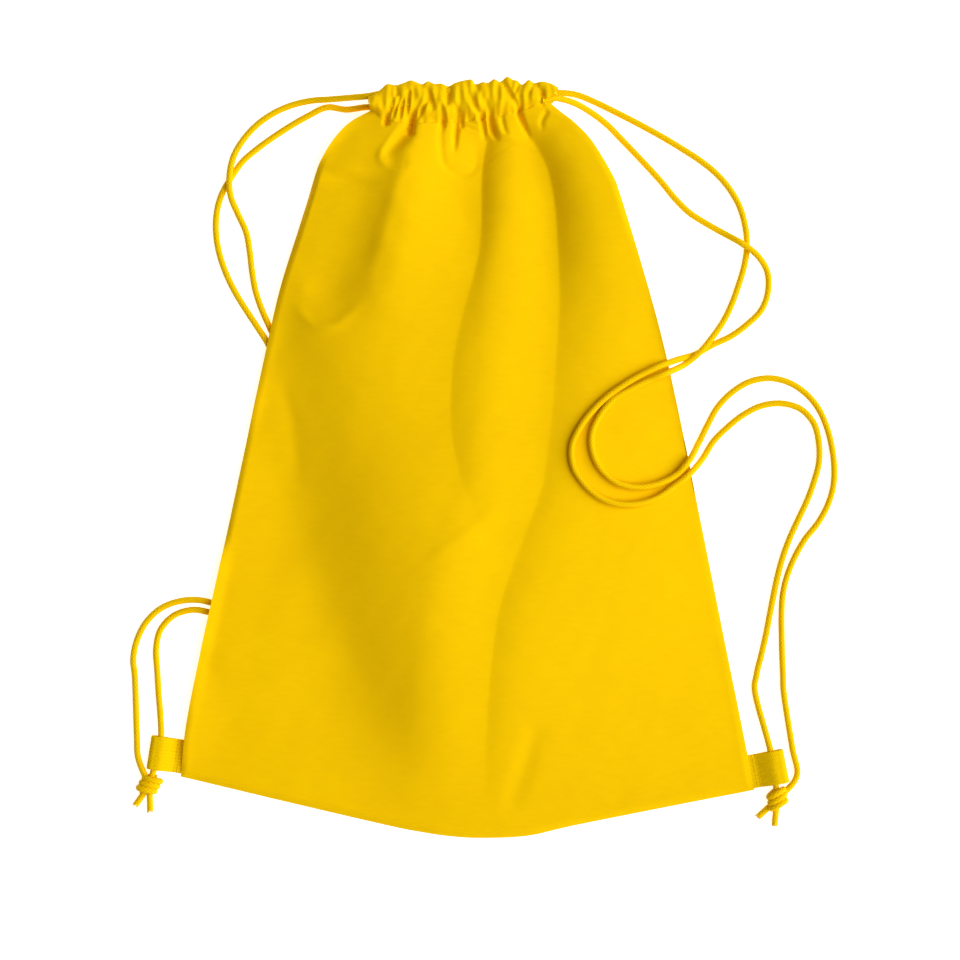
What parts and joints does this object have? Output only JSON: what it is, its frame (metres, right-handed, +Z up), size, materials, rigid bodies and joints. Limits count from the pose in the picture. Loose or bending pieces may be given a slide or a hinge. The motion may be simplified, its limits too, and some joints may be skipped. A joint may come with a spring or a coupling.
{
  "type": "drawstring backpack",
  "caption": "Flat cloth sack with a gathered drawcord mouth, two shoulder cords and a webbing tab at each bottom corner, lying empty on its back.",
  "frame": {"origin": "on the floor under the middle of the bag with its two tabs", "axes": "+X to the right, +Y from the bottom of the bag to its mouth, +Z up out of the front panel"},
  "size_m": [0.4202, 0.4499, 0.0202],
  "materials": {
    "cloth": "matte plain-weave polyester",
    "webbing": "ribbed polyester webbing",
    "cord": "braided polyester cord"
  },
  "bodies": {
    "bag": {"front_panel": "cloth", "rear_panel": "cloth", "rear_casing": "cloth", "left_cord_front_strand": "cord", "left_cord_rear_strand": "cord", "left_cord_rear_run": "cord", "left_cord_turn": "cord", "right_cord_front_strand": "cord", "right_cord_rear_strand": "cord", "right_cord_rear_run": "cord", "right_cord_turn": "cord"},
    "mouth_front": {"front_casing": "cloth", "left_cord_front_run": "cord", "right_cord_front_run": "cord"},
    "left_corner": {"left_tab": "webbing", "left_cord_through_tab": "cord", "left_cord_beside_tab": "cord", "left_knot": "cord", "left_tail_1": "cord", "left_tail_2": "cord"},
    "right_corner": {"right_tab": "webbing", "right_cord_through_tab": "cord", "right_cord_beside_tab": "cord", "right_knot": "cord", "right_tail_1": "cord", "right_tail_2": "cord"}
  },
  "joints": [
    {"name": "mouth_front_hinge", "type": "hinge", "parent": "bag", "child": "mouth_front", "pos_m": [-0.00208, 0.19881, 0.0166], "axis": [0.9994, 0.0349, 0], "range_deg": [0, 20]},
    {"name": "left_tab_hinge", "type": "hinge", "parent": "bag", "child": "left_corner", "pos_m": [-0.1698, -0.1769, 0.0011], "axis": [0.1564, 0.9877, 0], "range_deg": [0, 90]},
    {"name": "right_tab_hinge", "type": "hinge", "parent": "bag", "child": "right_corner", "pos_m": [0.17, -0.1858, 0.0011], "axis": [0.1908, -0.9816, 0], "range_deg": [0, 90]}
  ]
}
